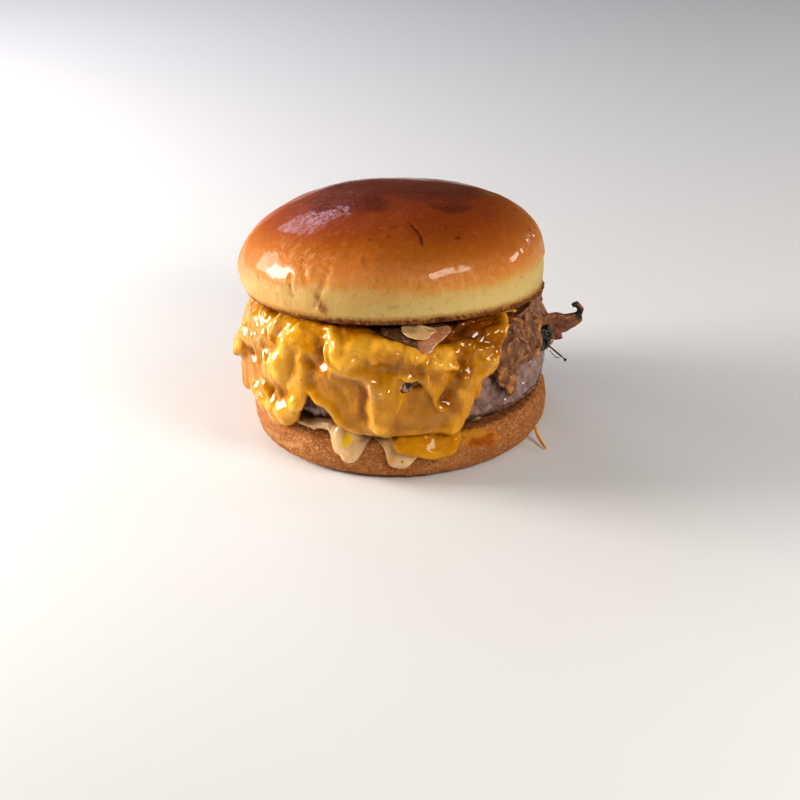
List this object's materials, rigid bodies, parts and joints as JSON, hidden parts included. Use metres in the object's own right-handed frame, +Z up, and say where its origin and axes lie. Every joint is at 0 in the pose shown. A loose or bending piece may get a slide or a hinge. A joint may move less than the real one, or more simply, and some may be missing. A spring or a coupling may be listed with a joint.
{
  "type": "hamburger",
  "caption": "Stacked burger in a glossy round bun, with melted cheese folding over a thick beef patty and shredded meat, and sauce running over the lower bun.",
  "frame": {"origin": "centre of the lower bun's flat underside", "axes": "+Z up through the stack, -Y towards the front with the sauce drips, +X towards the side where the pork shows"},
  "size_m": [0.1217, 0.1141, 0.0862],
  "materials": {
    "crust": "glossy egg-washed crust, dark on top, pale at the lower edge",
    "crumb": "matte fine-grained toasted bun",
    "beef": "moist grey-brown cooked beef",
    "pork": "moist shredded cooked pork with charred ends",
    "cheese": "melted, very glossy golden cheese",
    "sauce": "glossy cream sauce with pepper",
    "ham": "moist pink-brown sliced ham"
  },
  "bodies": {
    "root": {"heel": "crumb", "sauce": "sauce", "patty": "beef", "under_cheese": "cheese", "pork": "pork", "cheese": "cheese", "ham": "ham", "dab": "sauce", "crown": "crust", "cheese_string": "cheese"}
  },
  "joints": []
}
